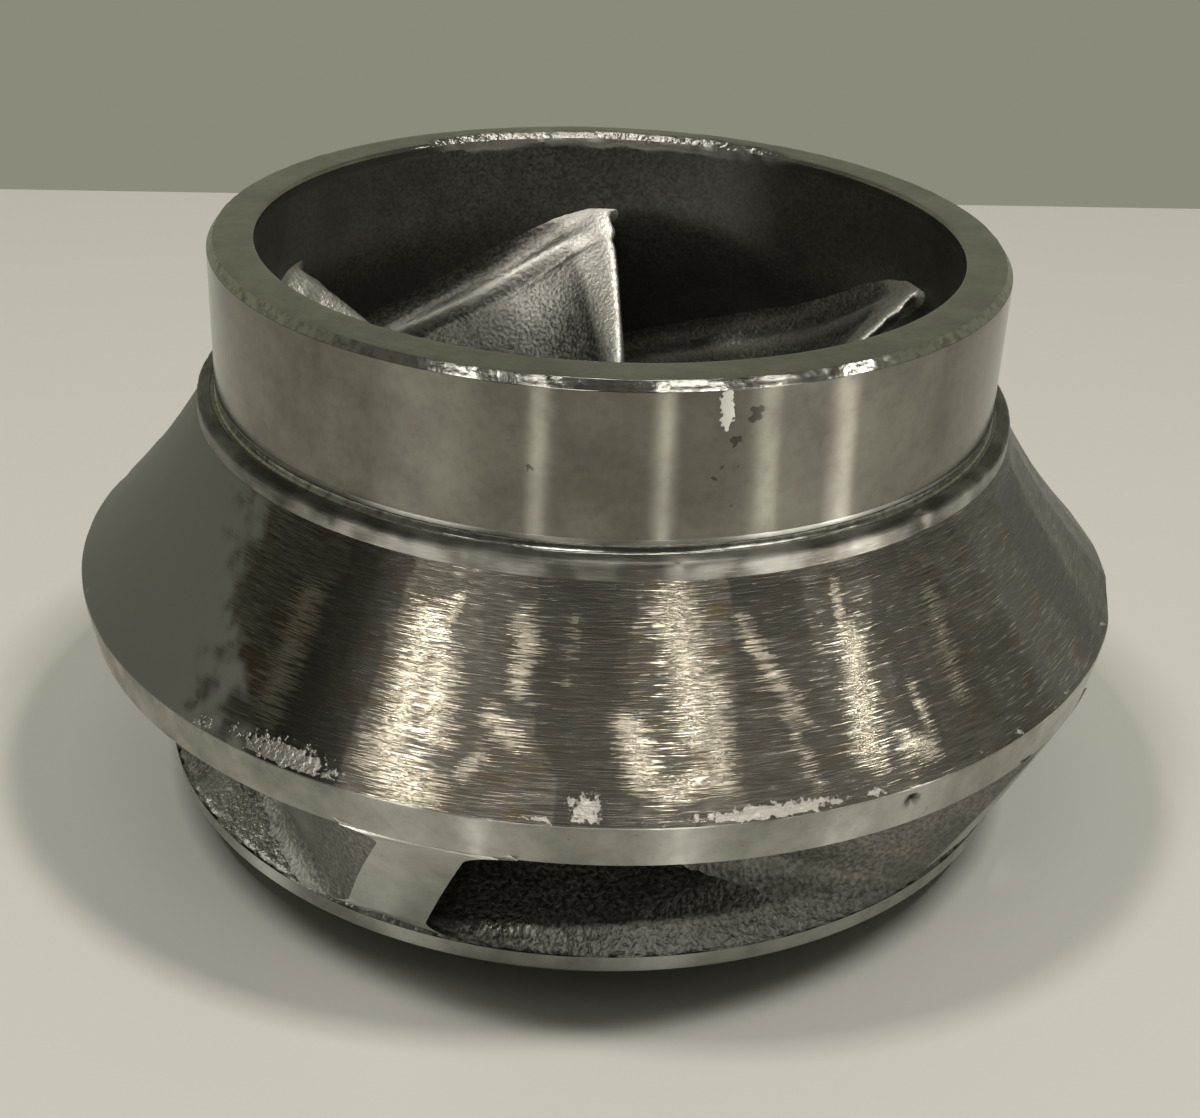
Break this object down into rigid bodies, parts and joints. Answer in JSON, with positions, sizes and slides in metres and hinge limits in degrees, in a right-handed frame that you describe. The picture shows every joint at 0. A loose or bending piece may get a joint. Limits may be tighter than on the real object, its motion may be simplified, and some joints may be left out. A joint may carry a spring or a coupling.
{
  "type": "pump impeller",
  "caption": "closed mixed-flow pump impeller: eye ring with turned wear land, ground conical front shroud, twisted vanes, keyed hub and conical back shroud",
  "frame": {"origin": "centre of the boss face that it stands on, on the rotation axis", "axes": "+Z is the rotation axis towards the eye; the keyway is on +X; the picture was taken from the -Y side"},
  "size_m": [0.164, 0.164, 0.09],
  "materials": {
    "turned_stainless": "turned top face and wear land, with light marks and pits",
    "ground_stainless": "hand-ground cone with straight facets and a satin outlet band",
    "machined_stainless": "machined nose, boss and bore",
    "cast_stainless": "blasted casting skin, dull and slightly rough",
    "vane_stainless": "blasted casting skin with ground outlet edges"
  },
  "bodies": {
    "root": {"eye_ring": "turned_stainless", "shroud": "ground_stainless", "hub": "machined_stainless", "back_shroud": "cast_stainless", "vane_1": "vane_stainless", "vane_2": "vane_stainless", "vane_3": "vane_stainless", "vane_4": "vane_stainless", "vane_5": "vane_stainless"}
  },
  "joints": []
}
